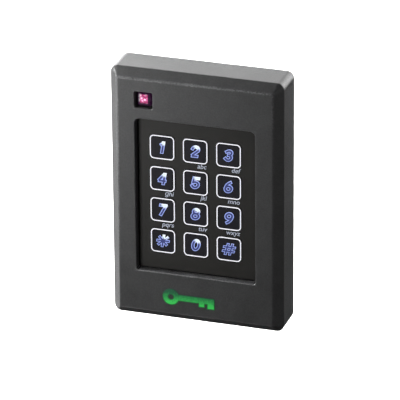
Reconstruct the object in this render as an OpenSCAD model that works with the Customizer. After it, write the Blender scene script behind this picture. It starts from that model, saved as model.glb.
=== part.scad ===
// Keypad access reader for one wall box, as it hangs on the wall.
// The back of its wall plate lies on the XZ plane with the origin at its centre, the front faces -Y
// and +Z is up. Each piece is drawn lying on its back, with X across, Y up the wall and Z as its
// height off the wall, and stand() then turns it upright.

/* [Body] */
// Width of the cover
body_w = 84; // [84:1:96]
// Height of the cover
body_h = 126; // [126:1:144]
// Depth of the straight side walls
side_d = 16.2; // [15.8:0.2:20]
// Depth of the sloping rim
bevel_d = 4.2; // [4:0.2:5.2]
// Width of the sloping rim, seen from the front
bevel_w = 4.2; // [4:0.2:4.8]
// Corner radius of the outline
outline_r = 3.5; // [3:0.5:6]
// Corner radius where the rim meets the face
face_r = 0.7; // [0.5:0.1:1.5]
// Wall thickness of the cover
wall_t = 2.2; // [1.8:0.1:2.4]

/* [Keypad] */
// Width of the keypad window
window_w = 58.4; // [58:0.2:60]
// Height of the keypad window
window_h = 77.2; // [75:0.1:78]
// Height of the window's centre above the middle of the cover
window_y = 0.4; // [-1:0.1:1]
// Radius of the window's upper corners
window_top_r = 2.6; // [1:0.2:4]
// Radius of the window's lower corners
window_low_r = 0.8; // [0.4:0.2:4]
// Depth of the keypad panel below the face
recess_d = 3; // [2.6:0.1:3.2]
// Gap round the panel inside the window
panel_gap = 0.9; // [0.4:0.1:1.2]
// Distance between key columns
pitch_x = 16.2; // [15.6:0.1:16.6]
// Distance between key rows
pitch_y = 15.9; // [15.4:0.1:16.2]
// Sideways offset of the keys from the middle
keys_x = -0.6; // [-0.8:0.1:0.8]
// Height of the middle of the keys
keys_y = 0.9; // [-1:0.1:1]
// Side of a key
key_w = 12.1; // [11:0.1:12.2]
// Corner radius of a key
key_r = 2; // [1:0.1:3]
// Height of a key above the panel
key_rise = 0.4; // [0.2:0.1:0.6]
// Gap between a key and its opening
key_gap = 0.2; // [0.15:0.05:0.3]
// How far a key travels when pressed
key_travel = 0.9; // [0.6:0.1:1]

/* [Status light] */
// Distance of the status light left of the middle
light_x = 24.8; // [22:0.1:26]
// Height of the status light
light_y = 48.4; // [47.5:0.1:49]
// Width of the well that the light sits in
light_w = 8.6; // [7.5:0.1:9]
// Height of the well that the light sits in
light_h = 8; // [7.5:0.1:9]
// Depth of the light's front below the face
light_depth = 1.3; // [0.8:0.1:2]

/* [Badge] */
// Length of the raised key pictogram
badge_w = 25; // [20:1:30]
// Distance of the pictogram left of the middle
badge_x = 3.6; // [0:0.1:8]
// Distance of the pictogram below the middle
badge_y = 50.2; // [48:0.1:51]

/* [Mounting] */
// Distance between the two wall screws
wall_screw_pitch = 83.3; // [80:0.1:86]
// Diameter of a wall screw hole
wall_hole_d = 4.2; // [3.6:0.1:4.6]
// Distance between the slots for a square box
box_pitch = 60; // [58:0.5:61]
// Length of a slot
slot_length = 8; // [6:0.5:9]
// Width of a slot
slot_d = 4.4; // [3.6:0.1:4.6]
// Distance of the cable entry below the middle
entry_y = 14; // [12:0.5:15]
// Diameter of the cable bore
cable_d = 8; // [5:0.5:10]

/* [Hidden] */
$fn = 64;
EPS = 0.2;              // depth by which joined shapes run into each other and cuts run past a face
CORNER_STEPS = 8;       // straight steps in each corner of a lofted shell
KEY_NAMES = ["1", "2", "3", "4", "5", "6", "7", "8", "9", "star", "0", "hash"];

// Heights off the wall, from the wall to the face
face_h = side_d + bevel_d;
inner_h = face_h - wall_t;
panel_h = face_h - recess_d;
key_h = panel_h + key_rise;
flange_top = panel_h - 1.6;
flange_low = flange_top - 1;
key_flange_top = flange_low - 0.05;
key_flange_low = key_flange_top - 0.8;
front_board_top = face_h - 8.6;
front_board_low = front_board_top - 1.6;
main_board_low = front_board_low - 3.4;
main_board_top = main_board_low + 1.6;
plate_t = 2.4;
floor_low = 2.8;
floor_top = floor_low + 1.4;

// Badge
badge_t = 0.2;
bow_r = 3.8;
bow_hole_r = 1.6;
shank_w = 2.6;

// Inside of the cover
cavity_w = body_w - 2 * wall_t;
cavity_h = body_h - 2 * wall_t;
slope = norm([bevel_w, bevel_d]);
well_low = inner_h - 1.4;
lip_low = flange_top + 0.5;

// Rear shell, boards and the screws that hold them
shell_w = cavity_w - 4.6;
shell_h = cavity_h - 4.6;
shell_t = 1.2;
case_screw_x = shell_w / 2 - 2.1;
case_screw_y = shell_h / 2 - 2.1;
main_w = 68;
main_h = 92;
main_y = -2;
board_screw_x = main_w / 2 - 3;
board_screw_y = main_h / 2 - 3;

// Wall plate and its catches
plate_w = cavity_w - 1;
plate_h = cavity_h - 1;
hook_x = 20;
tab_top = floor_top + 5;
cover_screw_h = 6.2;
entry_r = 11;

// Keypad panel and what is under it
panel_flange_w = window_w + 5;
panel_flange_h = window_h + 5;
opening_w = key_w + 2 * key_gap;
mat_t = 0.8;
mat_top = front_board_top + mat_t;
dome_r = 4.2;
dome_h = key_flange_low - front_board_top;
pad_t = 0.08;
plunger_low = key_travel + pad_t;
led_offset = 4.9;

// Antenna round the keypad
coil_w = 73.2;
coil_h = 114.8;
coil_r = 14;
coil_t = 3.6;

// Connector between the boards
header_pins = 10;
pin_pitch = 2.54;
header_x = -14;
header_y = -40;
header_mid = (main_board_top + front_board_low) / 2;

// Terminal block
terminals = 8;
terminal_pitch = 5;
terminal_y = -31;

// ---- Shared shapes ----

module stand() rotate([90, 0, 0]) children();

module round_rect(w, h, r) {
    square([w - 2 * r, h], center = true);
    square([w, h - 2 * r], center = true);
    for (x = [-1, 1], y = [-1, 1])
        translate([x * (w / 2 - r), y * (h / 2 - r)]) circle(r);
}

// A plate with round corners between two heights
module slab(w, h, r, low, top) translate([0, 0, low]) linear_extrude(top - low) round_rect(w, h, r);

// A frame between an outer and an inner round rectangle
module frame(w, h, r, inner_w, inner_h, inner_r, low, top) difference() {
    slab(w, h, r, low, top);
    slab(inner_w, inner_h, inner_r, low - EPS, top + EPS);
}

module block(w, h, low, top) translate([-w / 2, -h / 2, low]) cube([w, h, top - low]);

module disc(r, low, top) translate([0, 0, low]) cylinder(r = r, h = top - low);

module at_corners(x, y) for (sx = [-1, 1], sy = [-1, 1]) translate([sx * x, sy * y]) children();

function ring_points(w, h, r, z) = [
    for (q = [0:3], s = [0:CORNER_STEPS])
        let (
            a = 90 * (q + s / CORNER_STEPS),
            sx = q == 0 || q == 3 ? 1 : -1,
            sy = q < 2 ? 1 : -1
        )
        [sx * (w / 2 - r) + r * cos(a), sy * (h / 2 - r) + r * sin(a), z]
];

// A solid through a stack of round rectangles, each given as [inset from the outline, height]
module loft(rings) {
    n = 4 * (CORNER_STEPS + 1);
    last = n * (len(rings) - 1);
    polyhedron(
        points = [
            for (p = rings)
                each ring_points(body_w - 2 * p[0], body_h - 2 * p[0], max(outline_r - p[0], face_r), p[1])
        ],
        faces = [
            [for (i = [0:n - 1]) i],
            [for (i = [n - 1:-1:0]) last + i],
            for (k = [0:len(rings) - 2], i = [0:n - 1])
                let (j = (i + 1) % n)
                [k * n + i, (k + 1) * n + i, (k + 1) * n + j, k * n + j]
        ]
    );
}

// A screw along Z with its head's underside at the origin and its shank below
module screw(head_r, head_t, shank_r, length) difference() {
    union() {
        cylinder(r = head_r, h = head_t);
        translate([0, 0, -length]) cylinder(r = shank_r, h = length + EPS);
    }
    for (a = [0, 90])
        rotate(a) translate([0, 0, head_t]) cube([head_r * 1.2, head_r * 0.28, head_t], center = true);
}

function key_column(i) = i % 3 - 1;
function key_row(i) = 1.5 - floor(i / 3);

module at_key(i) translate([keys_x + pitch_x * key_column(i), keys_y + pitch_y * key_row(i)]) children();

// The outline of the keypad window, drawn in by an inset
module window_shape(inset) hull() for (x = [-1, 1]) {
    top_r = max(window_top_r - inset, 0.3);
    low_r = max(window_low_r - inset, 0.3);
    translate([x * (window_w / 2 - inset - top_r), window_h / 2 - inset - top_r]) circle(top_r);
    translate([x * (window_w / 2 - inset - low_r), inset + low_r - window_h / 2]) circle(low_r);
}

module at_light() translate([-light_x, light_y]) children();

module at_window() translate([0, window_y]) children();

// ---- Cover ----

// Points on the outside of the cover from its rim to its face: the side wall and the face each run
// into the slope by a small round of two steps
function cover_profile() = let (
    low_round = 0.5,
    top_round = 0.6,
    up = [bevel_w, bevel_d] / slope,
    side = [0, side_d],
    crest = [bevel_w, face_h]
) [
    [0, 0],
    side - [0, low_round],
    (side - [0, low_round]) / 4 + side / 2 + (side + up * low_round) / 4,
    side + up * low_round,
    crest - up * top_round,
    (crest - up * top_round) / 4 + crest / 2 + (crest + [top_round, 0]) / 4,
    crest + [top_round, 0]
];

// The inside follows the outside at the wall's thickness
function cavity_profile() = let (
    start = [wall_t * bevel_d / slope, side_d - wall_t * bevel_w / slope],
    rise = bevel_d / bevel_w
) [
    [wall_t, -EPS],
    [wall_t, start[1] + (wall_t - start[0]) * rise],
    [start[0] + (inner_h - start[1]) / rise, inner_h]
];

module front_cover() color("#3a3c3e") stand() difference() {
    union() {
        difference() {
            loft(cover_profile());
            loft(cavity_profile());
        }
        at_window() slab(window_w + 4, window_h + 4, 2, lip_low, inner_h + EPS);
        at_light() slab(light_w + 3, light_h + 3, 1.5, well_low, inner_h + EPS);
        at_corners(case_screw_x, case_screw_y) disc(3, front_board_top, inner_h + EPS);
        for (x = [-hook_x, hook_x])
            translate([x, cavity_h / 2 - 0.85]) block(9, 2.1, plate_t + 0.2, plate_t + 1.8);
    }
    at_window() translate([0, 0, lip_low - EPS]) linear_extrude(face_h - lip_low + 2 * EPS) window_shape(0);
    at_light() slab(light_w, light_h, 0.8, well_low - EPS, face_h + EPS);
    at_corners(case_screw_x, case_screw_y) disc(1.15, front_board_top - EPS, inner_h - 1);
    translate([0, -body_h / 2 - EPS, cover_screw_h]) rotate([-90, 0, 0]) {
        cylinder(r = 2.9, h = 1.5 + EPS);
        cylinder(r = 1.7, h = wall_t + 2 * EPS);
    }
}

// A generic key: a ring for its bow, a straight shank and two teeth
module badge() color("#3fb453") stand() translate([-badge_x, -badge_y, face_h]) linear_extrude(badge_t) {
    translate([bow_r - badge_w / 2, 0]) difference() {
        circle(bow_r);
        circle(bow_hole_r);
    }
    translate([2 * bow_r - badge_w / 2 - EPS, -shank_w / 2]) square([badge_w - 2 * bow_r + EPS, shank_w]);
    tooth(0, 3, 2.4);
    tooth(4.8, 2.4, 1.8);
}

// A tooth of the pictogram, at a distance from the tip of its shank
module tooth(from_tip, w, length)
    translate([badge_w / 2 - from_tip - w, -shank_w / 2 - length]) square([w, length + EPS]);

// ---- Keypad ----

module keypad_panel() color("#2b2a2d") stand() difference() {
    union() {
        at_window() slab(panel_flange_w, panel_flange_h, 2, flange_low, flange_top);
        at_window() translate([0, 0, flange_top - EPS])
            linear_extrude(panel_h - flange_top + EPS) window_shape(panel_gap);
        at_window() frame(
            panel_flange_w, panel_flange_h, 2, panel_flange_w - 2.4, panel_flange_h - 2.4, 0.8,
            front_board_top, flange_low + EPS
        );
    }
    for (i = [0:len(KEY_NAMES) - 1])
        at_key(i) slab(opening_w, opening_w, key_r + key_gap, flange_low - EPS, panel_h + EPS);
}

module window_gasket() color("#1c1c1d") stand() at_window()
    frame(window_w + 4, window_h + 4, 2, window_w + 0.8, window_h + 0.8, 1, flange_top, lip_low);

// A key with the flange that keeps it behind the panel
module key_cap(i) color("#35333a") stand() at_key(i) {
    slab(key_w + 1.3, key_w + 1.3, key_r, key_flange_low, key_flange_top);
    slab(key_w, key_w, key_r, key_flange_top - EPS, key_h);
}

module keypad_mat() color("#b9bcc0") stand() difference() {
    at_window() slab(panel_flange_w - 2.8, panel_flange_h - 2.8, 0.8, front_board_top, mat_top);
    for (i = [0:len(KEY_NAMES) - 1]) at_key(i) {
        disc(dome_r + 0.15, front_board_top - EPS, mat_top + EPS);
        translate([led_offset, led_offset]) block(2.4, 1.6, front_board_top - EPS, mat_top + EPS);
    }
}

// A hollow silicone dome under a key, with the plunger that closes the contact
module dome(i) color("#c9ccd0") stand() at_key(i) translate([0, 0, front_board_top]) rotate_extrude()
    polygon([
        [dome_r - 0.6, 0], [dome_r, 0], [dome_r, 0.5],
        [3, dome_h - 0.5], [3, dome_h], [0, dome_h],
        [0, plunger_low], [1.5, plunger_low], [1.5, dome_h - 0.6],
        [2.4, dome_h - 0.6], [dome_r - 0.6, 0.4]
    ]);

module keypad_board() color("#1f5a38") stand() difference() {
    slab(cavity_w - 2.4, cavity_h - 1.2, 3, front_board_low, front_board_top);
    at_corners(case_screw_x, case_screw_y) disc(1.3, front_board_low - EPS, front_board_top + EPS);
}

// Two half-round contacts for each key, with a straight gap between them
module contact_pads() color("#c9a23a") stand()
    for (i = [0:len(KEY_NAMES) - 1]) at_key(i) difference() {
        disc(2.4, front_board_top, front_board_top + pad_t);
        block(0.5, 5, front_board_top - EPS, front_board_top + pad_t + EPS);
    }

module backlight_leds() color("#e8ecdc") stand()
    for (i = [0:len(KEY_NAMES) - 1])
        at_key(i) translate([led_offset, led_offset]) block(1.6, 0.8, front_board_top, front_board_top + 0.6);

module status_led() color("#f4e9ea") stand() at_light() {
    block(3.4, 3, front_board_top, front_board_top + 1);
    disc(1.2, front_board_top + 0.9, front_board_top + 1.5);
}

module light_pipe() color("#ff5a9a") stand() at_light() {
    slab(6.4, 6.2, 0.5, front_board_top + 1.7, face_h - light_depth);
    slab(7.8, 7.6, 2, well_low - 2.2, well_low - 1.2);
}

module light_bezel() color("#121213") stand() at_light() difference() {
    union() {
        slab(light_w + 2.8, light_h + 2.8, 1.4, well_low - 1.1, well_low);
        slab(light_w - 0.2, light_h - 0.2, 0.7, well_low - EPS, panel_h);
    }
    slab(6.7, 6.5, 0.6, well_low - 1.1 - EPS, panel_h + EPS);
}

// ---- Antenna ----

module antenna_former() color("#dcd8cc") stand() difference() {
    frame(
        coil_w, coil_h, coil_r, coil_w - 2 * coil_t, coil_h - 2 * coil_t, coil_r - coil_t,
        front_board_top, front_board_top + 3.6
    );
    frame(
        coil_w + 2, coil_h + 2, coil_r + 1, coil_w - 4.4, coil_h - 4.4, coil_r - 2.2,
        front_board_top + 0.8, front_board_top + 2.8
    );
}

module antenna_coil() color("#b8692f") stand() frame(
    coil_w - 0.8, coil_h - 0.8, coil_r - 0.4, coil_w - 4.2, coil_h - 4.2, coil_r - 2.1,
    front_board_top + 0.9, front_board_top + 2.7
);

// ---- Boards ----

module at_header_pins() translate([header_x, header_y])
    for (i = [0:header_pins - 1], side = [-1, 1])
        translate([pin_pitch * (i - (header_pins - 1) / 2), side * pin_pitch / 2]) children();

module board_header() color("#26262a") stand() {
    translate([header_x, header_y]) block(pin_pitch * header_pins, 5, header_mid, front_board_low);
    at_header_pins() disc(0.25, main_board_top + 0.2, header_mid + EPS);
}

module board_socket() color("#3b3b40") stand() difference() {
    translate([header_x, header_y]) block(pin_pitch * header_pins, 5, main_board_top, header_mid);
    at_header_pins() disc(0.35, main_board_top + 0.1, header_mid + EPS);
}

module at_board_screws() translate([0, main_y]) at_corners(board_screw_x, board_screw_y) children();

module main_board() color("#1f5a38") stand() difference() {
    translate([0, main_y]) slab(main_w, main_h, 2, main_board_low, main_board_top);
    at_board_screws() disc(1.2, main_board_low - EPS, main_board_top + EPS);
}

module board_screws() color("#c7c9cb") stand()
    at_board_screws() translate([0, 0, main_board_top]) screw(1.8, 1.1, 0.95, 3.9);

// Two rows of flat leads along X
module leads(count, pitch, reach) for (i = [0:count - 1], side = [-1, 1])
    translate([pitch * (i - (count - 1) / 2), side * reach])
        block(0.35, 0.9, main_board_top, main_board_top + 0.3);

module microcontroller() color("#222326") stand() translate([16, 8]) {
    block(9, 9, main_board_top + 0.1, main_board_top + 1.3);
    for (turn = [0, 90]) rotate(turn) leads(11, 0.8, 4.8);
}

module reader_chip() color("#26282b") stand() translate([-18, 14]) {
    block(7, 5.4, main_board_top + 0.1, main_board_top + 1.2);
    leads(8, 0.8, 3);
}

module crystal() color("#cfd2d4") stand() translate([16, -4])
    slab(6, 3.2, 1, main_board_top, main_board_top + 1.2);

module chip_resistors() color("#3d3f45") stand()
    for (spot = [[-24, 30], [-24, 2], [4, 24], [2, -14], [26, -22]], i = [0:4])
        translate([spot[0] + 2.2 * i, spot[1]]) block(1.2, 2, main_board_top, main_board_top + 0.6);

// Round capacitors on the back of the main board
module capacitors() color("#b7babd") stand()
    for (y = [18, 26]) translate([-22, y]) disc(2.6, floor_top + 0.2, main_board_low);

module buzzer() color("#17171a") stand() translate([20, 20]) difference() {
    disc(6.5, floor_top + 0.3, main_board_low);
    disc(1, floor_top, floor_top + 1.2);
}

// Light sensor on the back of the main board that sees the wall through a hole in the plate
module at_tamper_sensor() translate([22, -8]) children();

module tamper_sensor() color("#2a2730") stand() at_tamper_sensor() {
    block(4, 3.2, main_board_low - 1.4, main_board_low);
    disc(0.8, main_board_low - 1.8, main_board_low - 1.3);
}

module at_terminals() for (i = [0:terminals - 1])
    translate([terminal_pitch * (i - (terminals - 1) / 2), terminal_y]) children();

module terminal_block() color("#2f7d4f") stand() difference() {
    translate([0, terminal_y]) block(terminals * terminal_pitch, 8, plate_t + 0.2, main_board_low);
    at_terminals() {
        disc(1.5, plate_t, plate_t + 2);
        translate([0, 3]) block(3, 4, plate_t + 2.4, plate_t + 4);
    }
}

module terminal_screws() color("#c7c9cb") stand() at_terminals() difference() {
    disc(1.4, plate_t + 0.5, plate_t + 2);
    block(3, 0.5, plate_t, plate_t + 1);
}

// ---- Rear shell and wall plate ----

module at_wall_screws() for (y = [-1, 1]) translate([0, y * wall_screw_pitch / 2]) children();

module rear_shell() color("#303234") stand() difference() {
    union() {
        difference() {
            slab(shell_w, shell_h, 2.5, floor_low, front_board_low);
            slab(shell_w - 2 * shell_t, shell_h - 2 * shell_t, 1.3, floor_top, front_board_low + EPS);
        }
        at_corners(case_screw_x, case_screw_y) disc(3, floor_low + EPS, front_board_low);
        at_board_screws() disc(2.6, floor_top - EPS, main_board_low);
    }
    // Opening for the terminals and the cable
    translate([0, -18.5]) block(54, 34, floor_low - EPS, floor_top + EPS);
    // Room for the heads of the wall screws
    at_wall_screws() disc(4.8, floor_low - EPS, floor_top + EPS);
    at_corners(box_pitch / 2, box_pitch / 2) slab(12, 9, 3, floor_low - EPS, floor_top + EPS);
    // Room for the plate's hooks and its tab
    for (x = [-hook_x, hook_x]) translate([x, shell_h / 2]) block(9, 5, floor_low - EPS, floor_top + 2);
    translate([0, -shell_h / 2]) block(15, 5.4, floor_low - EPS, tab_top + 0.3);
    // Case screws from behind, board screws from the front
    at_corners(case_screw_x, case_screw_y) {
        disc(1.3, floor_low, front_board_low + EPS);
        disc(2.2, floor_low - EPS, floor_low + 1.6);
    }
    at_board_screws() disc(1, floor_top + 0.2, main_board_low + EPS);
}

module case_screws() color("#a9abae") stand() at_corners(case_screw_x, case_screw_y)
    translate([0, 0, floor_low + 1.6]) rotate([180, 0, 0]) screw(2.05, 1.4, 1.1, 12);

module hook() {
    translate([0, 57.6]) block(8, 2.2, plate_t - EPS, plate_t + 3.2);
    translate([0, 58.5]) block(8, 3.9, plate_t + 2, plate_t + 3.2);
}

// A slot along X through the plate
module slot_cut(length, d) translate([0, 0, -EPS]) linear_extrude(plate_t + 2 * EPS) {
    square([length - d, d], center = true);
    for (x = [-1, 1]) translate([x * (length - d) / 2, 0]) circle(d / 2);
}

module mounting_plate() color("#4a4d50") stand() difference() {
    union() {
        slab(plate_w, plate_h, 3, 0, plate_t);
        for (x = [-hook_x, hook_x]) translate([x, plate_h / 2 - 60.3]) hook();
        translate([0, 2 - plate_h / 2]) block(12, 4, plate_t - EPS, tab_top);
    }
    at_wall_screws() disc(wall_hole_d / 2, -EPS, plate_t + EPS);
    at_corners(box_pitch / 2, box_pitch / 2) slot_cut(slot_length, slot_d);
    translate([0, -entry_y]) {
        disc(entry_r, -EPS, plate_t + EPS);
        disc(entry_r + 1.6, -EPS, 1);
    }
    at_tamper_sensor() disc(2.5, -EPS, plate_t + EPS);
    translate([0, -plate_h / 2 - EPS, cover_screw_h]) rotate([-90, 0, 0]) cylinder(r = 2.35, h = 4 + 2 * EPS);
}

module cable_grommet() color("#1b1b1c") stand() translate([0, -entry_y]) difference() {
    union() {
        disc(entry_r + 1.4, 0.1, 0.95);
        disc(entry_r - 0.1, 0.9, plate_t + 0.1);
        disc(entry_r + 1.4, plate_t + 0.02, plate_t + 0.9);
    }
    disc(cable_d / 2, 0, plate_t + 1);
}

module screw_insert() color("#c9a24a") stand() translate([0, -plate_h / 2, cover_screw_h]) rotate([-90, 0, 0])
    difference() {
        cylinder(r = 2.3, h = 4);
        translate([0, 0, -EPS]) cylinder(r = 1.5, h = 4 + 2 * EPS);
    }

// The one screw that keeps the cover on: its pin keeps plain drivers out
module cover_screw() color("#b4b7ba") stand()
    translate([0, -body_h / 2 + 1.45, cover_screw_h]) rotate([90, 0, 0]) {
        difference() {
            union() {
                cylinder(r = 2.6, h = 1.2);
                translate([0, 0, -6.8]) cylinder(r = 1.45, h = 7);
            }
            translate([0, 0, 0.4]) cylinder(r = 1.3, h = 1, $fn = 6);
        }
        cylinder(r = 0.35, h = 1);
    }

front_cover();
badge();
keypad_panel();
window_gasket();
for (i = [0:len(KEY_NAMES) - 1])
    key_cap(i);
keypad_mat();
for (i = [0:len(KEY_NAMES) - 1])
    dome(i);
keypad_board();
contact_pads();
backlight_leds();
status_led();
light_pipe();
light_bezel();
antenna_former();
antenna_coil();
board_header();
board_socket();
main_board();
board_screws();
microcontroller();
reader_chip();
crystal();
chip_resistors();
capacitors();
buzzer();
tamper_sensor();
terminal_block();
terminal_screws();
rear_shell();
case_screws();
mounting_plate();
cable_grommet();
screw_insert();
cover_screw();
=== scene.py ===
import math

import bmesh
import bpy
from mathutils import Matrix, Vector

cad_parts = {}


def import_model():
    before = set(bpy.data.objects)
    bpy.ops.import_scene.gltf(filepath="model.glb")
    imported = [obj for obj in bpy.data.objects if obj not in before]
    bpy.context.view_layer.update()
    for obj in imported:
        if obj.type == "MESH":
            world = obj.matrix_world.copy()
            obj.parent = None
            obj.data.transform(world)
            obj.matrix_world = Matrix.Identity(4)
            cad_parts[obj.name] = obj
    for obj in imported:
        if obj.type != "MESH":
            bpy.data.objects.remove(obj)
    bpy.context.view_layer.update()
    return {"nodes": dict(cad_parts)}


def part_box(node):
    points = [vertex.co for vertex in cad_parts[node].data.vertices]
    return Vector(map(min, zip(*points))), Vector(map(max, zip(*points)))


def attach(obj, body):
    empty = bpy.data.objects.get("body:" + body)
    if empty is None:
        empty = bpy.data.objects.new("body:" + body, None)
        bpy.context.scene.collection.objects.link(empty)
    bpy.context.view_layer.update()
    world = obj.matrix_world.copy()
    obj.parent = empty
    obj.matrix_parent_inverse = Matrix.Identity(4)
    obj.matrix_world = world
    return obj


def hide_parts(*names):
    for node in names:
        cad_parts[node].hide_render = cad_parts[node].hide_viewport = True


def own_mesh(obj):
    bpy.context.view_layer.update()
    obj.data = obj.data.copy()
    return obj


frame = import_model()

MM = 0.001
KEY_NAMES = ["1", "2", "3", "4", "5", "6", "7", "8", "9", "star", "0", "hash"]

# ---------------------------------------------------------------- places, from the frame


def centre(node):
    """Middle of a CAD node's box."""
    low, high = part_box(node)
    return (low + high) / 2


def front(node):
    """How far out of the wall a CAD node reaches: the y of its front."""
    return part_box(node)[0].y


cover_low, cover_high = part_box("front_cover")
panel_low, panel_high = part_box("keypad_panel")
face = -cover_low.y
key_y = front("key_5")
panel_y = panel_low.y

WALL = 2.2 * MM
BEVEL = 4.2 * MM
OUTLINE_R = 3.5 * MM
FACE_R = 0.7 * MM
LIP_R = 0.55 * MM
PANEL_LAP = 2.5 * MM
BEZEL_LAP = 1.4 * MM
side = face - BEVEL
inner = face - WALL
board_front = -front("keypad_board")
window_w = panel_high.x - panel_low.x - 2 * PANEL_LAP
window_h = panel_high.z - panel_low.z - 2 * PANEL_LAP
window_middle = (0, (panel_low.z + panel_high.z) / 2)
bezel_low, bezel_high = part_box("light_bezel")
well_w = bezel_high.x - bezel_low.x - 2 * BEZEL_LAP
well_h = bezel_high.z - bezel_low.z - 2 * BEZEL_LAP
well_middle = ((bezel_low.x + bezel_high.x) / 2, (bezel_low.z + bezel_high.z) / 2)
well_floor = 1.1 * MM - bezel_high.y


# ---------------------------------------------------------------- materials


class Shader:
    """A Principled material whose nodes are made one line at a time."""

    def __init__(self, name, roughness=0.5, metallic=0.0):
        self.mat = bpy.data.materials.new(name)
        self.mat.use_nodes = True
        self.tree = self.mat.node_tree
        self.bsdf = self.tree.nodes["Principled BSDF"]
        self.bsdf.inputs["Roughness"].default_value = roughness
        self.bsdf.inputs["Metallic"].default_value = metallic
        self.place = self.add("ShaderNodeTexCoord").outputs["Object"]

    def add(self, kind, **settings):
        node = self.tree.nodes.new(kind)
        for key, value in settings.items():
            setattr(node, key, value)
        return node

    def feed(self, socket, value):
        if isinstance(value, bpy.types.NodeSocket):
            self.tree.links.new(value, socket)
        else:
            socket.default_value = value

    def put(self, name, value):
        self.feed(self.bsdf.inputs[name], value)

    def noise(self, size, detail=3.0, rough=0.6, place=None):
        """Noise with features of about that size in metres."""
        node = self.add("ShaderNodeTexNoise")
        self.feed(node.inputs["Vector"], place or self.place)
        node.inputs["Scale"].default_value = 1 / size
        node.inputs["Detail"].default_value = detail
        node.inputs["Roughness"].default_value = rough
        return node.outputs["Fac"]

    def grains(self, size):
        """Distance from the middle of each cell, in cells of about that size in metres."""
        node = self.add("ShaderNodeTexVoronoi")
        self.feed(node.inputs["Vector"], self.place)
        node.inputs["Scale"].default_value = 1 / size
        return node.outputs["Distance"]

    def spread(self, value, low, high, to_low=0.0, to_high=1.0):
        node = self.add("ShaderNodeMapRange")
        for key, number in zip(("From Min", "From Max", "To Min", "To Max"), (low, high, to_low, to_high)):
            node.inputs[key].default_value = number
        self.feed(node.inputs["Value"], value)
        return node.outputs["Result"]

    def ramp(self, value, *stops):
        """Colours along a value from 0 to 1: each stop is (place, (r, g, b))."""
        node = self.add("ShaderNodeValToRGB")
        elements = node.color_ramp.elements
        for i, (at, colour) in enumerate(stops):
            element = elements[i] if i < len(elements) else elements.new(at)
            element.position = at
            element.color = (*colour, 1)
        self.feed(node.inputs["Fac"], value)
        return node.outputs["Color"]

    def axis(self, name):
        node = self.add("ShaderNodeSeparateXYZ")
        self.feed(node.inputs["Vector"], self.place)
        return node.outputs[name]

    def math(self, operation, a, b=0.0):
        node = self.add("ShaderNodeMath", operation=operation)
        self.feed(node.inputs[0], a)
        self.feed(node.inputs[1], b)
        return node.outputs["Value"]

    def stretched(self, scale):
        node = self.add("ShaderNodeMapping")
        self.feed(node.inputs["Vector"], self.place)
        node.inputs["Scale"].default_value = scale
        return node.outputs["Vector"]

    def bump(self, height, distance, strength=1.0):
        node = self.add("ShaderNodeBump")
        node.inputs["Strength"].default_value = strength
        node.inputs["Distance"].default_value = distance
        self.feed(node.inputs["Height"], height)
        self.put("Normal", node.outputs["Normal"])


def shade(colour, factor):
    return tuple(c * factor for c in colour)


def moulded_plastic(name, colour, roughness, grain=0.45 * MM, depth=0.02 * MM, specular=0.5):
    """Spark-textured moulding: a fine even grain, with faint clouds from the mould in tone and gloss."""
    s = Shader(name)
    clouds = s.noise(14 * MM, detail=2)
    grain_field = s.noise(grain, detail=2, rough=0.5)
    tone = s.math("ADD", s.math("MULTIPLY", clouds, 0.6), s.math("MULTIPLY", grain_field, 0.4))
    s.put("Base Color", s.ramp(tone, (0.3, shade(colour, 0.78)), (0.7, shade(colour, 1.25))))
    s.put("Roughness", s.spread(clouds, 0.3, 0.7, roughness - 0.04, roughness + 0.05))
    s.put("Specular IOR Level", specular)
    s.bump(grain_field, depth)
    return s.mat


def past_hole(s, middle, w, h):
    """How far a point lies past the edges of a square hole, across and up."""
    across = s.math("ABSOLUTE", s.math("SUBTRACT", s.axis("X"), middle[0]))
    up = s.math("ABSOLUTE", s.math("SUBTRACT", s.axis("Z"), middle[1]))
    return s.math("SUBTRACT", across, w / 2), s.math("SUBTRACT", up, h / 2)


def lip_mask(s, middle, w, h):
    """1 along the lip of a square hole and 0 half a millimetre away."""
    past = s.math("MAXIMUM", *past_hole(s, middle, w, h))
    away = s.math("ABSOLUTE", s.math("SUBTRACT", past, LIP_R / 2))
    return s.spread(away, LIP_R / 2, LIP_R, 1.0, 0.0)


def low_corner_mask(s, lip, middle, w, h):
    """1 where a hole's lip turns its two lower corners."""
    corner = s.spread(s.math("MINIMUM", *past_hole(s, middle, w, h)), -1.2 * MM, -0.3 * MM)
    low = s.math("LESS_THAN", s.axis("Z"), middle[1])
    return s.math("MULTIPLY", s.math("MULTIPLY", lip, corner), low)


def crest_mask(s):
    """1 along the crest of the cover's slope, strongest at the upper left, where the painted highlight on the
    crest is brightest.
    """
    half = (cover_high - cover_low) / 2
    x = s.math("SUBTRACT", half.x, s.math("ABSOLUTE", s.axis("X")))
    z = s.math("SUBTRACT", half.z, s.math("ABSOLUTE", s.axis("Z")))
    away = s.math("ABSOLUTE", s.math("SUBTRACT", s.math("MINIMUM", x, z), BEVEL + 0.1 * MM))
    crest = s.spread(away, 0.1 * MM, 0.95 * MM, 1.0, 0.0)
    outside = s.spread(s.axis("Y"), -side, -side - 1 * MM)
    # painted highlight: the crest mask fades from the upper left, towards the lights, to the lower right
    upper_left_highlight_weight = s.spread(s.math("SUBTRACT", s.axis("Z"), s.axis("X")), -20 * MM, 60 * MM, 0.1, 1.0)
    return s.math("MULTIPLY", s.math("MULTIPLY", crest, outside), upper_left_highlight_weight)


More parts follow.
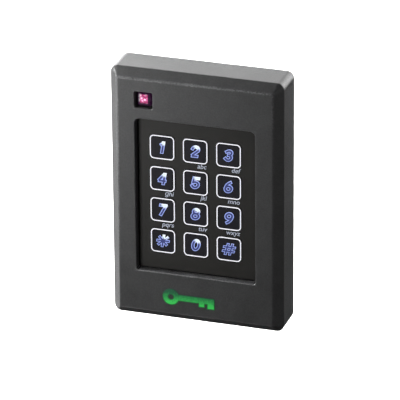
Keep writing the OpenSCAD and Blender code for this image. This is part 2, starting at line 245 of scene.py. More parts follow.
def cover_wear_and_painted_highlight(name, colour):
    """The cover's own plastic: spark texture on its faces, glossier along edges from wear, and lighter there by
    a painted highlight along the slope's crest and the holes' lips, strongest on the window's lower lip.
    """
    s = Shader(name)
    clouds = s.noise(14 * MM, detail=2)
    grain = s.noise(0.75 * MM, detail=4, rough=0.7)
    window = (window_middle, window_w, window_h)
    window_lip = lip_mask(s, *window)
    window_corners = low_corner_mask(s, window_lip, *window)
    sill = window_middle[1] - window_h / 2
    # painted highlight on the window's lip, strongest along its lower edge; the same mask also makes the lip
    # glossier from wear
    window_lip_highlight_and_wear = s.math("MULTIPLY", window_lip, s.spread(s.axis("Z"), sill, sill + 3 * MM, 0.7, 0.2))
    well_lip_highlight_and_wear = s.math("MULTIPLY", lip_mask(s, well_middle, well_w, well_h), 0.3)
    edges = s.math("MAXIMUM", s.math("MAXIMUM", crest_mask(s), well_lip_highlight_and_wear), window_lip_highlight_and_wear)
    edge_highlight_and_wear = s.math("MULTIPLY", edges, s.spread(grain, 0.3, 0.6, 0.55, 1.0))
    tone = s.math("ADD", s.math("MULTIPLY", clouds, 0.35), s.math("MULTIPLY", grain, 0.65))
    # painted highlight: the edge mask lightens the base colour, up to five times the plastic's own tone
    tone = s.math("ADD", tone, s.math("MULTIPLY", edge_highlight_and_wear, 0.6))
    stops = [(0.3, shade(colour, 0.55)), (0.7, shade(colour, 1.45)), (1.0, shade(colour, 5))]
    s.put("Base Color", s.ramp(tone, *stops))
    gloss = s.math("ADD", s.math("MULTIPLY", edge_highlight_and_wear, 0.2), s.math("MULTIPLY", window_corners, 0.14))
    s.put("Roughness", s.math("SUBTRACT", s.spread(clouds, 0.3, 0.7, 0.39, 0.46), gloss))
    s.put("Specular IOR Level", s.spread(window_corners, 0, 1, 0.5, 1.0))
    s.bump(grain, 0.13 * MM)
    return s.mat


def brushed_metal(name, colour, roughness, stretch=(1, 1, 12)):
    """Turned or plated metal with fine drawn lines and small stains."""
    s = Shader(name, metallic=1.0)
    lines = s.noise(0.3 * MM, detail=4, place=s.stretched(stretch))
    stains = s.noise(1.6 * MM)
    s.put("Base Color", s.ramp(stains, (0.3, shade(colour, 0.75)), (0.65, colour)))
    s.put("Roughness", s.spread(lines, 0.25, 0.75, roughness - 0.08, roughness + 0.12))
    s.bump(lines, 0.006 * MM)
    return s.mat


def rubber(name, colour):
    """Moulded rubber with a dull, slightly dusty skin."""
    s = Shader(name)
    dust = s.noise(2.5 * MM, detail=5)
    s.put("Base Color", s.ramp(dust, (0.35, colour), (0.75, shade(colour, 1.9))))
    s.put("Roughness", s.spread(dust, 0.3, 0.7, 0.62, 0.86))
    s.bump(s.noise(0.25 * MM), 0.012 * MM)
    return s.mat


def silicone(name):
    """Milky silicone that lets light in."""
    s = Shader(name, roughness=0.45)
    s.put("Base Color", s.ramp(s.noise(3 * MM), (0.3, (0.5, 0.52, 0.55)), (0.7, (0.66, 0.68, 0.7))))
    s.put("Subsurface Weight", 0.3)
    s.put("Subsurface Radius", (0.001, 0.001, 0.001))
    s.bump(s.noise(0.4 * MM), 0.008 * MM)
    return s.mat


def circuit_board(name):
    """Green solder mask over copper: tracks on a grid, a darker bare margin and small plated holes."""
    s = Shader(name, roughness=0.28)
    cell = s.add("ShaderNodeTexBrick", offset=0.5)
    turned = s.add("ShaderNodeMapping")
    s.feed(turned.inputs["Vector"], s.place)
    turned.inputs["Rotation"].default_value = (math.radians(90), 0, 0)
    s.feed(cell.inputs["Vector"], turned.outputs["Vector"])
    cell.inputs["Scale"].default_value = 1 / (9 * MM)
    cell.inputs["Mortar Size"].default_value = 0.035
    cell.inputs["Brick Width"].default_value = 0.9
    cell.inputs["Row Height"].default_value = 0.16
    tracks = cell.outputs["Fac"]
    holes = s.spread(s.grains(5 * MM), 0.08, 0.1, 1.0, 0.0)
    mask = s.add("ShaderNodeMix", data_type="RGBA")
    s.feed(mask.inputs[0], tracks)
    s.feed(mask.inputs[6], s.ramp(s.noise(6 * MM), (0.3, (0.008, 0.07, 0.024)), (0.7, (0.012, 0.1, 0.035))))
    mask.inputs[7].default_value = (0.03, 0.2, 0.06, 1)
    plated = s.add("ShaderNodeMix", data_type="RGBA")
    s.feed(plated.inputs[0], holes)
    s.feed(plated.inputs[6], mask.outputs[2])
    plated.inputs[7].default_value = (0.62, 0.58, 0.42, 1)
    s.put("Base Color", plated.outputs[2])
    s.put("Metallic", s.math("MULTIPLY", holes, 0.9))
    s.bump(tracks, 0.02 * MM)
    return s.mat


def wound_copper(name):
    """Enamelled wire wound side by side: fine turns across the coil's depth."""
    s = Shader(name, roughness=0.3, metallic=0.9)
    turn = 0.18 * MM
    across = s.axis("Y")
    wave = s.math("ABSOLUTE", s.math("SINE", s.math("MULTIPLY", across, math.pi / turn)))
    s.put("Base Color", s.ramp(wave, (0.0, (0.18, 0.05, 0.015)), (0.6, (0.62, 0.26, 0.1))))
    s.bump(wave, 0.06 * MM)
    return s.mat


def lit_print(name, far, near, strength, heat=1.0):
    """Translucent print lit from behind by a lamp above and right of the sign, fading with distance."""
    s = Shader(name, roughness=0.4)
    x = s.math("SUBTRACT", s.axis("X"), 1.2 * MM)
    z = s.math("SUBTRACT", s.axis("Z"), 2.9 * MM)
    away = s.math("SQRT", s.math("ADD", s.math("MULTIPLY", x, x), s.math("MULTIPLY", z, z)))
    glow = s.spread(away, 0.8 * MM, 2.5 * MM, heat, 0.0)
    uneven = s.spread(s.noise(1.1 * MM, detail=2), 0.3, 0.7, -0.1, 0.1)
    low = s.spread(s.axis("Z"), -3.4 * MM, 2 * MM, 0.0, 0.3)
    light = s.math("ADD", s.math("ADD", glow, low), uneven)
    colour = s.ramp(light, (0.0, far), (0.35, shade(far, 1.3)), (1.0, near))
    s.put("Base Color", shade(far, 0.3) + (1,))
    s.put("Emission Color", colour)
    s.put("Emission Strength", strength)
    return s.mat


def dyed_print(name, colour, strength):
    """Matte print with slightly uneven ink and a faint glow of its own."""
    s = Shader(name, roughness=0.5)
    ink = s.ramp(s.noise(0.7 * MM, detail=4), (0.3, shade(colour, 0.86)), (0.7, colour))
    s.put("Base Color", ink)
    s.put("Emission Color", ink)
    s.put("Emission Strength", strength)
    return s.mat


def lens_glow(name):
    """Lit lens: a white-hot middle in pink with bright facets, and a dark plum body round it."""
    s = Shader(name, roughness=0.12)
    x = s.math("ABSOLUTE", s.math("DIVIDE", s.math("ADD", s.axis("X"), 0.15 * MM), 1.9 * MM))
    z = s.math("ABSOLUTE", s.math("DIVIDE", s.math("SUBTRACT", s.axis("Z"), 0.3 * MM), 2.1 * MM))
    rim = s.spread(s.math("MAXIMUM", x, z), 0.68, 1.1)
    facets = s.grains(1.5 * MM)
    sparkle = s.spread(facets, 0.15, 0.55)
    heat = s.math("MAXIMUM", rim, s.math("MULTIPLY", sparkle, 0.62))
    white_hot, pink = (1.0, 0.8, 0.92), (0.9, 0.2, 0.48)
    plum, dark = (0.3, 0.015, 0.1), (0.01, 0.001, 0.01)
    colour = s.ramp(heat, (0.0, white_hot), (0.28, pink), (0.62, plum), (1.0, dark))
    s.put("Base Color", (0.02, 0.006, 0.018, 1))
    s.put("Emission Color", colour)
    s.put("Emission Strength", 1.3)
    s.bump(facets, 0.2 * MM, strength=0.6)
    return s.mat


def green_foil(name, bottom, middle, top):
    """Green foil that runs from dark at the top to bright at the bottom."""
    s = Shader(name, roughness=0.35)
    low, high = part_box("badge")
    up = s.spread(s.axis("Z"), low.z, high.z)
    scuffed = s.math("ADD", up, s.spread(s.noise(0.8 * MM, detail=3), 0.3, 0.7, -0.12, 0.12))
    colour = s.ramp(scuffed, (0.15, bottom), (0.45, middle), (0.8, top))
    s.put("Base Color", colour)
    # painted light: the foil also gives off its own colour as a faint glow, though no lamp lights it
    s.put("Emission Color", colour)
    s.put("Emission Strength", 0.22)
    s.bump(s.noise(0.5 * MM), 0.01 * MM)
    return s.mat


COVER = cover_wear_and_painted_highlight("cover_plastic", (0.0235, 0.0237, 0.0244))
PANEL = moulded_plastic(
    "panel_plastic", (0.0095, 0.0088, 0.0074), 0.5, grain=0.3 * MM, depth=0.01 * MM, specular=0.33
)
KEY = moulded_plastic(
    "key_plastic", (0.0075, 0.007, 0.011), 0.5, grain=0.25 * MM, depth=0.006 * MM, specular=0.2
)
BLACK = moulded_plastic("black_plastic", (0.006, 0.006, 0.0065), 0.4, grain=0.3 * MM, depth=0.01 * MM)
REAR = moulded_plastic("rear_plastic", (0.03, 0.0305, 0.032), 0.55)
PLATE = moulded_plastic("plate_plastic", (0.045, 0.047, 0.05), 0.55, grain=0.6 * MM, depth=0.03 * MM)
CHIP = moulded_plastic("chip_plastic", (0.02, 0.02, 0.022), 0.5, grain=0.15 * MM, depth=0.008 * MM)
TERMINAL = moulded_plastic("terminal_plastic", (0.02, 0.2, 0.07), 0.4, grain=0.3 * MM)
FORMER = moulded_plastic("former_plastic", (0.62, 0.6, 0.52), 0.5)
SEAL = rubber("seal_rubber", (0.014, 0.014, 0.015))
SILICONE = silicone("milky_silicone")
BOARD = circuit_board("solder_mask")
COPPER = wound_copper("wound_copper")
GOLD = brushed_metal("contact_gold", (0.83, 0.6, 0.22), 0.25)
ZINC = brushed_metal("zinc_plate", (0.68, 0.69, 0.7), 0.32)
STEEL = brushed_metal("stainless_steel", (0.6, 0.61, 0.62), 0.28)
TIN = brushed_metal("tin_can", (0.72, 0.73, 0.75), 0.3)
BRASS = brushed_metal("turned_brass", (0.75, 0.56, 0.22), 0.3)
LED = dyed_print("led_white", (0.85, 0.86, 0.8), 0.1)
LENS = lens_glow("lens_glow")
FOIL = green_foil("green_foil", (0.028, 0.46, 0.07), (0.014, 0.26, 0.05), (0.004, 0.08, 0.03))
FOIL_DARK = green_foil("green_foil_edge", (0.006, 0.12, 0.025), (0.005, 0.085, 0.022), (0.006, 0.05, 0.028))

NODE_MATERIALS = {
    COVER: ["front_cover"],
    PANEL: ["keypad_panel"],
    KEY: ["key_" + k for k in KEY_NAMES],
    BLACK: ["light_bezel", "board_header", "board_socket", "buzzer", "tamper_sensor"],
    REAR: ["rear_shell"],
    PLATE: ["mounting_plate"],
    CHIP: ["microcontroller", "reader_chip", "chip_resistors"],
    TERMINAL: ["terminal_block"],
    FORMER: ["antenna_former"],
    SEAL: ["window_gasket", "cable_grommet"],
    SILICONE: ["keypad_mat"] + ["dome_" + k for k in KEY_NAMES],
    BOARD: ["keypad_board", "main_board"],
    COPPER: ["antenna_coil"],
    GOLD: ["contact_pads"],
    ZINC: ["board_screws", "terminal_screws", "case_screws"],
    STEEL: ["cover_screw"],
    TIN: ["crystal", "capacitors"],
    BRASS: ["screw_insert"],
    LED: ["backlight_leds", "status_led"],
    LENS: ["light_pipe"],
    FOIL: ["badge"],
}
for material, nodes in NODE_MATERIALS.items():
    for name in nodes:
        mesh = frame["nodes"][name].data
        mesh.materials.clear()
        mesh.materials.append(material)


# ---------------------------------------------------------------- pieces


def piece(name, mesh, material, body="housing", place=Vector(), stands_for=()):
    """A finished mesh as a piece that rides a body, with the given material."""
    mesh.materials.clear()
    mesh.materials.append(material)
    obj = bpy.data.objects.new(name, mesh)
    bpy.context.scene.collection.objects.link(obj)
    obj.location = place
    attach(obj, body)
    if stands_for:
        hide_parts(*stands_for)
    return obj


def smooth(mesh, angle=30):
    mesh.shade_smooth()
    mesh.set_sharp_from_angle(angle=math.radians(angle))
    return mesh


def even_normals(obj):
    """Keeps large faces flat where small rounds run into them."""
    modifier = obj.modifiers.new("normals", "WEIGHTED_NORMAL")
    modifier.keep_sharp = True


def outline(w, h, r, low_r=None, steps=8, middle=(0, 0)):
    """Points round a rectangle with round corners, in X and Z. low_r is the radius of the lower corners."""
    points = []
    for quarter, (sx, sz) in enumerate(((1, 1), (-1, 1), (-1, -1), (1, -1))):
        radius = low_r if low_r is not None and sz < 0 else r
        for i in range(steps + 1):
            a = math.radians(90 * (quarter + i / steps))
            x = sx * (w / 2 - radius) + radius * math.cos(a)
            z = sz * (h / 2 - radius) + radius * math.sin(a)
            points.append((middle[0] + x, middle[1] + z))
    return points


def circle(r, middle=(0, 0), steps=32):
    turns = [2 * math.pi * i / steps for i in range(steps)]
    return [(middle[0] + r * math.cos(a), middle[1] + r * math.sin(a)) for a in turns]


def filleted(corners, radii, steps=5):
    """A line through 2-D corners with each corner rounded to its radius."""
    points = []
    for i, (corner, r) in enumerate(zip(corners, radii)):
        p = Vector(corner)
        if not r:
            points.append(p)
            continue
        a = (Vector(corners[i - 1]) - p).normalized()
        b = (Vector(corners[i + 1]) - p).normalized()
        half = a.angle(b) / 2
        middle = p + (a + b).normalized() * (r / math.sin(half))
        start = p + a * (r / math.tan(half)) - middle
        end = p + b * (r / math.tan(half)) - middle
        sweep = start.angle(end)
        for k in range(steps + 1):
            t = k / steps
            spoke = start * math.sin((1 - t) * sweep) + end * math.sin(t * sweep)
            points.append(middle + spoke / math.sin(sweep))
    return points


def to_mesh(bm, name):
    bmesh.ops.recalc_face_normals(bm, faces=bm.faces)
    mesh = bpy.data.meshes.new(name)
    bm.to_mesh(mesh)
    bm.free()
    return mesh


def lofted(name, rings):
    """A solid through a stack of outlines of equally many points, each with its height off the wall."""
    bm = bmesh.new()
    loops = [[bm.verts.new((x, -height, z)) for x, z in points] for points, height in rings]
    bm.faces.new(loops[0])
    bm.faces.new(loops[-1])
    for a, b in zip(loops, loops[1:]):
        for i in range(len(a)):
            j = (i + 1) % len(a)
            bm.faces.new((a[i], a[j], b[j], b[i]))
    return to_mesh(bm, name)


def frame_mesh(name, rings):
    """A closed frame: the same as a loft, but its last outline runs back into its first."""
    bm = bmesh.new()
    loops = [[bm.verts.new((x, -height, z)) for x, z in points] for points, height in rings]
    for a, b in zip(loops, loops[1:] + loops[:1]):
        for i in range(len(a)):
            j = (i + 1) % len(a)
            bm.faces.new((a[i], a[j], b[j], b[i]))
    return to_mesh(bm, name)


def slab(points, low, top):
    return lofted("slab", [(points, low), (points, top)])


def turned(name, profile, steps=40):
    """A closed profile of (radius, height) points turned about an axis that points out of the wall."""
    bm = bmesh.new()
    loops = []
    for i in range(steps):
        a = 2 * math.pi * i / steps
        loops.append([bm.verts.new((r * math.cos(a), -height, r * math.sin(a))) for r, height in profile])
    for a, b in zip(loops, loops[1:] + loops[:1]):
        for i in range(len(profile)):
            j = (i + 1) % len(profile)
            bm.faces.new((a[i], a[j], b[j], b[i]))
    bmesh.ops.remove_doubles(bm, verts=bm.verts, dist=0.001 * MM)
    bmesh.ops.dissolve_degenerate(bm, edges=bm.edges, dist=0.001 * MM)
    return to_mesh(bm, name)


def combine(mesh, other, operation="DIFFERENCE"):
    """The exact difference or union of two solids."""
    host = bpy.data.objects.new("host", mesh)
    tool = bpy.data.objects.new("tool", other)
    for obj in (host, tool):
        bpy.context.scene.collection.objects.link(obj)
    modifier = host.modifiers.new("combine", "BOOLEAN")
    modifier.operation = operation
    modifier.solver = "EXACT"
    modifier.object = tool
    depsgraph = bpy.context.evaluated_depsgraph_get()
    made = bpy.data.meshes.new_from_object(host.evaluated_get(depsgraph))
    for obj in (host, tool):
        bpy.data.objects.remove(obj)
    for old in (mesh, other):
        bpy.data.meshes.remove(old)
    return made


def glyph_mesh(name, text, cap, weight, thickness, shear):
    """Flat letters that end at the origin, stand upright and face -Y. cap is the height of a digit."""
    curve = bpy.data.curves.new(name, "FONT")
    curve.body = text
    curve.size = cap / 0.73
    curve.shear = shear
    curve.offset = weight
    curve.extrude = thickness / 2
    curve.resolution_u = 8
    curve.align_x = "RIGHT"
    obj = bpy.data.objects.new(name, curve)
    bpy.context.scene.collection.objects.link(obj)
    depsgraph = bpy.context.evaluated_depsgraph_get()
    mesh = bpy.data.meshes.new_from_object(obj.evaluated_get(depsgraph))
    bpy.data.objects.remove(obj)
    mesh.name = name
    mesh.transform(Matrix.Rotation(math.radians(90), 4, "X"))
    return mesh


def stroke_mesh(name, strokes, width, thickness, shear):
    """Square-ended bars along lines of (x, z) points with mitred corners, as in a painted sign."""
    bm = bmesh.new()
    for k, line in enumerate(strokes):
        line = [Vector(p) for p in line]
        closed = (line[0] - line[-1]).length < 0.01 * MM
        if closed:
            line = line[:-1]
        count = len(line)
        left, right = [], []
        for i, p in enumerate(line):
            before = line[i - 1] if closed or i else None
            after = line[(i + 1) % count] if closed or i < count - 1 else None
            spans = [(a, b) for a, b in ((before, p), (p, after)) if a is not None and b is not None]
            ways = [(b - a).normalized() for a, b in spans]
            way = sum(ways, Vector((0, 0))).normalized()
            side_step = Vector((-way.y, way.x)) * (width / 2 / max(way.dot(ways[0]), 0.4))
            reach = way * (width / 2) * ((after is None) - (before is None))
            left.append(p + side_step + reach)
            right.append(p - side_step + reach)
        lift = thickness / 2 - k * 0.003 * MM
        sheets = [
            [bm.verts.new((q.x + shear * q.y, y, q.y)) for q in edge]
            for edge in (left, right) for y in (thickness / 2, -lift)
        ]
        left_back, left_top, right_back, right_top = sheets
        walls = [(left_top, right_top), (left_back, right_back), (left_back, left_top), (right_back, right_top)]
        for i in range(count if closed else count - 1):
            j = (i + 1) % count
            for a, b in walls:
                bm.faces.new((a[i], a[j], b[j], b[i]))
        if not closed:
            for i in (0, -1):
                bm.faces.new((left_back[i], left_top[i], right_top[i], right_back[i]))
    return to_mesh(bm, name)


# ---------------------------------------------------------------- the cover


def shell_ring(inset, height):
    w = cover_high.x - cover_low.x - 2 * inset
    h = cover_high.z - cover_low.z - 2 * inset
    return outline(w, h, max(OUTLINE_R - inset, FACE_R), steps=12), height


def lip_cutter(w, h, r, low_r, middle, floor):
    """What a hole with a rounded lip takes out of the face."""
    rings = [(0, floor), (0, face - LIP_R)]
    for i in range(1, 7):
        a = math.radians(90 * i / 6)
        rings.append((LIP_R * (1 - math.cos(a)), face - LIP_R + LIP_R * math.sin(a)))
    rings.append((LIP_R, face + 1 * MM))
    return lofted("cutter", [
        (outline(w + 2 * d, h + 2 * d, r + d, low_r + d, middle=middle), height) for d, height in rings
    ])


def cover_additions():
    """Collars round the window and the light, bosses for the case screws and ledges for the plate's hooks."""
    joined = inner + 0.2 * MM
    window_collar = outline(window_w + 4 * MM, window_h + 4 * MM, 2 * MM, middle=window_middle)
    yield slab(window_collar, face - 4.1 * MM, joined)
    well_collar = outline(well_w + 3 * MM, well_h + 3 * MM, 1.5 * MM, middle=well_middle)
    yield slab(well_collar, well_floor, joined)
    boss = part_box("case_screws")[1] - Vector((2.05 * MM, 0, 2.05 * MM))
    for x in (-boss.x, boss.x):
        for z in (-boss.z, boss.z):
            yield slab(circle(3 * MM, (x, z)), board_front, joined)
    for x in (-20 * MM, 20 * MM):
        ledge = outline(9 * MM, 2.1 * MM, 0.2 * MM, steps=2, middle=(x, cover_high.z - WALL - 0.85 * MM))
        yield slab(ledge, 2.6 * MM, 4.2 * MM)


def cover_cuts():
    yield lip_cutter(window_w, window_h, 2.6 * MM, 0.8 * MM, window_middle, face - 5 * MM)
    yield lip_cutter(well_w, well_h, 0.8 * MM, 0.8 * MM, well_middle, well_floor - 1 * MM)
    screw = centre("cover_screw")
    for r, depth in ((2.9 * MM, 1.5 * MM), (1.7 * MM, 3 * MM)):
        bore = slab(circle(r), -depth, 1 * MM)
        bore.transform(Matrix.Rotation(math.radians(90), 4, "X"))
        bore.transform(Matrix.Translation((0, screw.y, cover_low.z)))
        yield bore


def cover_mesh():
    """The cover's shell: straight sides, a sloping rim and a flat face, hollow at an even wall thickness."""
    outside = filleted(
        [(0.6 * MM, 0), (0, 0), (0, side), (BEVEL, face), (BEVEL + 2 * MM, face)],
        [0, 0.25 * MM, 1.0 * MM, 1.3 * MM, 0],
    )
    k = WALL * (math.sqrt(2) - 1)
    inside = [(WALL, -1 * MM), (WALL, side - k), (BEVEL + k, inner)]
    mesh = lofted("cover_shell", [shell_ring(*p) for p in outside])
    mesh = combine(mesh, lofted("cavity", [shell_ring(*p) for p in inside]))
    for solid in cover_additions():
        mesh = combine(mesh, solid, "UNION")
    for solid in cover_cuts():
        mesh = combine(mesh, solid)
    mesh.name = "cover_shell"
    return smooth(mesh)


even_normals(piece("cover_shell", cover_mesh(), COVER, stands_for=["front_cover"]))


# ---------------------------------------------------------------- light, domes


def lens_mesh():
    """The light pipe: a square rod with a flange and a cut front of eight facets."""
    low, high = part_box("light_pipe")
    tip = -low.y
    foot = -high.y
    flange = well_floor - 1.2 * MM
    w, h = 6.4 * MM, 6.2 * MM
    rod = outline(w, h, 0.5 * MM, steps=4)
    collar = outline(w + 1.4 * MM, h + 1.4 * MM, 2 * MM, steps=4)
    rings = [(rod, foot), (rod, flange - 1 * MM), (collar, flange - 1 * MM), (collar, flange), (rod, flange)]
    rings += [(rod, tip - 0.5 * MM)]
    for inset, r, drop in ((0.5 * MM, 1.2 * MM, 0.12 * MM), (1.2 * MM, 0.9 * MM, 0)):
        rings.append((outline(w - 2 * inset, h - 2 * inset, r, steps=4), tip - drop))
    return lofted("lens", rings)


piece(
    "lens", lens_mesh(), LENS, place=Vector((well_middle[0], 0, well_middle[1])),
    stands_for=["light_pipe"],
)


def dome_mesh(height):
    """A silicone dome: a foot, a thin web, and a solid crown with a plunger inside."""
    outer = filleted(
        [(4.2 * MM, 0), (4.2 * MM, 0.5 * MM), (3 * MM, height - 0.5 * MM), (3 * MM, height), (0, height)],
        [0, 0.15 * MM, 0.3 * MM, 0.2 * MM, 0],
    )
    within = [
        (0, 0.98 * MM), (1.5 * MM, 0.98 * MM), (1.5 * MM, height - 0.6 * MM), (2.4 * MM, height - 0.6 * MM),
        (3.6 * MM, 0.4 * MM), (3.6 * MM, 0),
    ]
    return smooth(turned("dome", [tuple(p) for p in outer] + within))


BOW_R = 3.8 * MM
BOW_HOLE_R = 1.6 * MM
SHANK_W = 2.6 * MM
# Each tooth of the key: how far it stands from the tip, its width and its depth.
TEETH = ((0, 3 * MM, 2.4 * MM), (4.8 * MM, 2.4 * MM, 1.8 * MM))


def badge_edge():
    """A darker green line round the pictogram: each part is a little larger than the one on it."""
    low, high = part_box("badge")
    rim = 0.45 * MM
    bow_x, bow_z = low.x + BOW_R, high.z - BOW_R
    shank_low = bow_z - SHANK_W / 2
    plate = slab(circle(BOW_R + rim, (bow_x, bow_z)), face, face + 0.1 * MM)
    bars = [(bow_x, high.x + rim, shank_low - rim, bow_z + SHANK_W / 2 + rim)]
    for from_tip, width, depth in TEETH:
        tip = high.x - from_tip
        bars.append((tip - width - rim, tip + rim, shank_low - depth - rim, bow_z))
    for x0, x1, z0, z1 in bars:
        bar = outline(x1 - x0, z1 - z0, 0.4 * MM, steps=4, middle=((x0 + x1) / 2, (z0 + z1) / 2))
        plate = combine(plate, slab(bar, face, face + 0.1 * MM), "UNION")
    return combine(plate, slab(circle(BOW_HOLE_R - rim, (bow_x, bow_z)), face - 1 * MM, face + 1 * MM))


piece("badge_edge", badge_edge(), FOIL_DARK)

for key in KEY_NAMES:
    low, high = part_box("dome_" + key)
    height = high.y - low.y
    middle = (low + high) / 2
    place = Vector((middle.x, high.y, middle.z))
    dome = piece(
        "rubber_dome_" + key, dome_mesh(height), SILICONE, place=place, stands_for=["dome_" + key]
    )
    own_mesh(dome)

SOFT_EDGED = [
    "mounting_plate", "rear_shell", "light_bezel", "keypad_panel", "cable_grommet", "terminal_block", "buzzer"
]
for name in SOFT_EDGED:
    modifier = frame["nodes"][name].modifiers.new("edges", "BEVEL")
    modifier.width = 0.12 * MM
    modifier.segments = 2
    modifier.limit_method = "ANGLE"
    modifier.angle_limit = math.radians(40)


# ---------------------------------------------------------------- legends on the keys

RING_SIDE = 11.9 * MM
RING_STROKE = 0.47 * MM
RING_R = 2 * MM
PRINT_T = 0.05 * MM
EDGE_BAR = 1.64 * MM
FILL_BAR = 0.92 * MM
DIGIT_TOP = 2.35 * MM
SIGN_SHEAR = 0.17

RING_PRINT = dyed_print("ring_print", (0.74, 0.74, 0.79), 0.72)
EDGE_BLUE, EDGE_HOT = (0.25, 0.32, 0.68), (0.95, 1.0, 1.0)
FILL_BLUE, FILL_HOT = (0.02, 0.028, 0.12), (0.8, 0.92, 1.0)
EDGE_PRINT = lit_print("digit_edge", EDGE_BLUE, EDGE_HOT, 1.0)
FILL_PRINT = lit_print("digit_fill", FILL_BLUE, FILL_HOT, 1.0)
EDGE_PRINT_DIM = lit_print("digit_edge_dim", EDGE_BLUE, EDGE_HOT, 0.95, heat=0.1)
FILL_PRINT_DIM = lit_print("digit_fill_dim", FILL_BLUE, FILL_HOT, 0.95, heat=0.0)
LETTER_PRINT = dyed_print("letter_print", (0.36, 0.39, 0.47), 0.5)


def bow(x, z, wide, tall, start, end):
    """Points along an elliptic arc round (x, z) in millimetres, between two angles in degrees."""
    steps = max(4, int(abs(end - start) / 15))
    turns = [math.radians(start + (end - start) * i / steps) for i in range(steps + 1)]
    return [(x + wide * math.cos(a), z + tall * math.sin(a)) for a in turns]


def digit_strokes():
    """The digits as lines in millimetres round their middle; each digit is a list of lines."""
    t = DIGIT_TOP / MM
    two = bow(0, 0.95, 1.45, 1.4, 165, -25) + [(-0.85, -1.75)]
    three_top = [(-1.15, 1.8)] + bow(0.1, 1.25, 1.2, 1.1, 120, -90)
    three_low = bow(0.1, -1.1, 1.35, 1.25, 90, -120) + [(-1.25, -1.65)]
    five = [(-1.0, t), (-1.15, 0.15)]
    six = [bow(0, -0.98, 1.45, 1.37, 90, 450), bow(1.55, -0.9, 3.0, 3.4, 172, 112)]
    return {
        "0": [bow(0, 0, 1.45, t, 90, 450)],
        "1": [[(0.35, -t), (0.35, t)], [(-0.45, 1.55), (0.2, 2.1)]],
        "2": [two, [(-0.85, -t), (1.1, -t)]],
        "3": [three_top, three_low],
        "4": [[(0.85, -t), (0.85, t)], [(0.45, 2.1), (-1.35, -0.5)], [(-1.2, -1.05), (1.35, -1.05)]],
        "5": [five, [(-0.75, t), (1.15, t)], bow(0, -0.95, 1.5, 1.4, 120, -155)],
        "6": six,
        "7": [[(-1.3, t), (1.1, t)], [(1.15, 2.0), (-0.45, -t)]],
        "8": [bow(0, 1.25, 1.2, 1.1, 90, 450), bow(0, -1.05, 1.5, 1.3, 90, 450)],
        "9": [[(-x, -z) for x, z in line] for line in six],
    }


def star_strokes():
    ends = [(2.6 * math.cos(a), 2.6 * math.sin(a)) for a in (math.radians(45 * i) for i in range(4))]
    return [[(-x, -z), (x, z)] for x, z in ends]


def hash_strokes():
    arm, gap = 2.45, 1.05
    bars = [[(s * gap, -arm), (s * gap, arm)] for s in (-1, 1)]
    return bars + [[(-arm, s * gap), (arm, s * gap)] for s in (-1, 1)]


STROKES = {**digit_strokes(), "star": star_strokes(), "hash": hash_strokes()}


def sign_mesh(name, key, bar_width, thickness):
    """The sign of one key, centred on its origin."""
    lines = [[(x * MM, z * MM) for x, z in line] for line in STROKES[key]]
    slimmer = 0.82 if key in ("star", "hash") else 1
    steeper = 1.6 if key == "hash" else 1
    return stroke_mesh(name, lines, bar_width * slimmer, thickness, SIGN_SHEAR * steeper)


def ring_mesh(name):
    """The bright rim of a key: a flat band with rounded corners."""
    wide = outline(RING_SIDE, RING_SIDE, RING_R)
    band = RING_SIDE - 2 * RING_STROKE
    narrow = outline(band, band, RING_R - RING_STROKE)
    sink = -0.02 * MM
    return frame_mesh(name, [(wide, sink), (wide, PRINT_T), (narrow, PRINT_T), (narrow, sink)])


for i, key in enumerate(KEY_NAMES):
    body = "key_" + key
    middle = centre(body)
    top = Vector((middle.x, key_y, middle.z))
    dim = i % 3 == 2
    piece("ring_" + key, ring_mesh("ring_" + key), RING_PRINT, body, top)
    edge = sign_mesh("edge_" + key, key, EDGE_BAR, PRINT_T)
    piece("sign_edge_" + key, edge, EDGE_PRINT_DIM if dim else EDGE_PRINT, body, top)
    fill = sign_mesh("fill_" + key, key, FILL_BAR, 2 * PRINT_T)
    piece("sign_fill_" + key, fill, FILL_PRINT_DIM if dim else FILL_PRINT, body, top)

# The g is the font's single-storey form.
LETTERS = {
    "2": "abc", "3": "def", "4": "\u0261hi", "5": "jkl", "6": "mno", "7": "pqrs", "8": "tuv", "9": "wxyz"
}
LETTER_CAP = 2.4 * MM
for key, text in LETTERS.items():
    middle = centre("key_" + key)
    place = Vector((middle.x + RING_SIDE / 2 - 0.7 * MM, panel_y, middle.z - RING_SIDE / 2 - 2.6 * MM))
    mesh = glyph_mesh("letters_" + key, text, LETTER_CAP, 0.02 * MM, PRINT_T, 0.2)
    piece("letters_" + key, mesh, LETTER_PRINT, "housing", place)


# ---------------------------------------------------------------- stage, lights and camera


def area_light(name, place, size, power):
    """A white light that faces the middle of the reader's back."""
    data = bpy.data.lights.new(name, "AREA")
    data.shape = "RECTANGLE"
    data.size, data.size_y = size
    data.energy = power
    obj = bpy.data.objects.new(name, data)
    bpy.context.scene.collection.objects.link(obj)
    obj.location = place
    obj.rotation_mode = "QUATERNION"
    obj.rotation_quaternion = (-Vector(place)).to_track_quat("-Z", "Y")
    return obj


def floor():
    """A plain pale floor below the wall-mounted reader. It shows to the camera but lights nothing."""
    side = 12.0
    mesh = bpy.data.meshes.new("floor")
    corners = [(-side, -side, 0), (side, -side, 0), (side, side, 0), (-side, side, 0)]
    mesh.from_pydata(corners, [], [(0, 1, 2, 3)])
    s = Shader("pale_floor", roughness=0.9)
    tint = s.ramp(s.noise(0.4), (0.3, (0.93, 0.93, 0.93)), (0.7, (0.96, 0.96, 0.96)))
    s.put("Base Color", tint)
    s.put("Emission Color", (1, 1, 1, 1))
    s.put("Emission Strength", 0.9)
    mesh.materials.append(s.mat)
    obj = bpy.data.objects.new("floor", mesh)
    bpy.context.scene.collection.objects.link(obj)
    obj.location.z = -0.35
    obj.visible_diffuse = False
    obj.visible_glossy = False


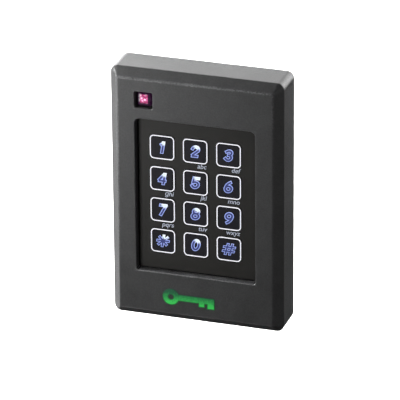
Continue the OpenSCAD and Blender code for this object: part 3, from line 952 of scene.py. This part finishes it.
def backdrop():
    """A pale wall far off all round, so that low views end in the same tone as the floor."""
    r, low, high = 4.5, -0.36, 6.0
    turns = [2 * math.pi * i / 96 for i in range(96)]
    points = [(r * math.cos(a), r * math.sin(a), z) for z in (low, high) for a in turns]
    mesh = bpy.data.meshes.new("backdrop")
    mesh.from_pydata(points, [], [(i, (i + 1) % 96, 96 + (i + 1) % 96, 96 + i) for i in range(96)])
    s = Shader("pale_wall", roughness=1.0)
    s.put("Base Color", (0, 0, 0, 1))
    s.put("Specular IOR Level", 0.0)
    s.put("Emission Color", s.ramp(s.noise(2.5), (0.3, (0.945, 0.945, 0.945)), (0.7, (0.96, 0.96, 0.96))))
    s.put("Emission Strength", 1.0)
    mesh.materials.append(s.mat)
    obj = bpy.data.objects.new("backdrop", mesh)
    bpy.context.scene.collection.objects.link(obj)
    for ray in ("visible_diffuse", "visible_glossy", "visible_transmission", "visible_shadow"):
        setattr(obj, ray, False)


def world():
    """Even studio room, dimmer below."""
    w = bpy.data.worlds.new("studio")
    w.use_nodes = True
    tree = w.node_tree
    place = tree.nodes.new("ShaderNodeTexCoord")
    axis = tree.nodes.new("ShaderNodeSeparateXYZ")
    ramp = tree.nodes.new("ShaderNodeValToRGB")
    tree.links.new(place.outputs["Generated"], axis.inputs["Vector"])
    fit = tree.nodes.new("ShaderNodeMapRange")
    fit.inputs["From Min"].default_value = -1
    tree.links.new(axis.outputs["Z"], fit.inputs["Value"])
    tree.links.new(fit.outputs["Result"], ramp.inputs["Fac"])
    tree.links.new(ramp.outputs["Color"], tree.nodes["Background"].inputs["Color"])
    ramp.color_ramp.elements[0].color = (0.12, 0.12, 0.12, 1)
    ramp.color_ramp.elements[1].color = (0.5, 0.5, 0.5, 1)
    tree.nodes["Background"].inputs["Strength"].default_value = 0.31
    bpy.context.scene.world = w


def camera():
    """Long lens from the front right and above, a little off the reader's middle."""
    azimuth, elevation, roll = math.radians(18.07), math.radians(24.08), math.radians(-0.436)
    distance, aside, above = 1.822, 0.003968, 0.006737
    back = Vector((
        math.sin(azimuth) * math.cos(elevation), -math.cos(azimuth) * math.cos(elevation), math.sin(elevation)
    ))
    right = Vector((math.cos(azimuth), math.sin(azimuth), 0))
    up = back.cross(right)
    right, up = (
        right * math.cos(roll) + up * math.sin(roll),
        up * math.cos(roll) - right * math.sin(roll),
    )
    data = bpy.data.cameras.new("camera")
    data.sensor_width = 36
    data.lens = 349
    data.clip_start, data.clip_end = 0.1, 50
    obj = bpy.data.objects.new("camera", data)
    bpy.context.scene.collection.objects.link(obj)
    turn = Matrix((right, up, back)).transposed()
    obj.matrix_world = Matrix.Translation(back * distance - right * aside - up * above) @ turn.to_4x4()
    bpy.context.scene.camera = obj


floor()
backdrop()
world()
# Each place is (across, towards the wall, up) in metres from the middle of the reader's back.
area_light("soft_front", (-0.145, -0.434, -0.2), (0.45, 0.45), 0.065)
area_light("left_front", (-0.174, -0.196, -0.098), (0.2, 0.3), 0.06)
area_light("left_close", (-0.17, -0.22, -0.02), (0.12, 0.12), 0.35)
area_light("left_above", (-0.2, -0.1, 0.25), (0.15, 0.15), 0.42)
area_light("left_wall", (-0.588, 0.259, -0.28), (0.5, 0.7), 2.6)
area_light("back", (-0.348, 1.044, 0.48), (1.4, 0.7), 8.3)
area_light("back_left", (-0.831, 0.727, 0.467), (0.7, 0.7), 21.2)
area_light("back_right", (0.485, 0.825, 0.291), (0.6, 0.9), 11)
area_light("crest", (-0.13, -0.24, 0.13), (0.1, 0.1), 0.1)
area_light("corners", (-0.52, -0.063, 0.196), (0.08, 0.08), 3)
area_light("below", (-0.15, -0.13, -0.36), (0.12, 0.12), 0.25)
area_light("right_front", (0.636, -0.477, 0.08), (0.4, 0.8), 1.15)
camera()

bpy.context.scene.view_settings.view_transform = "Standard"
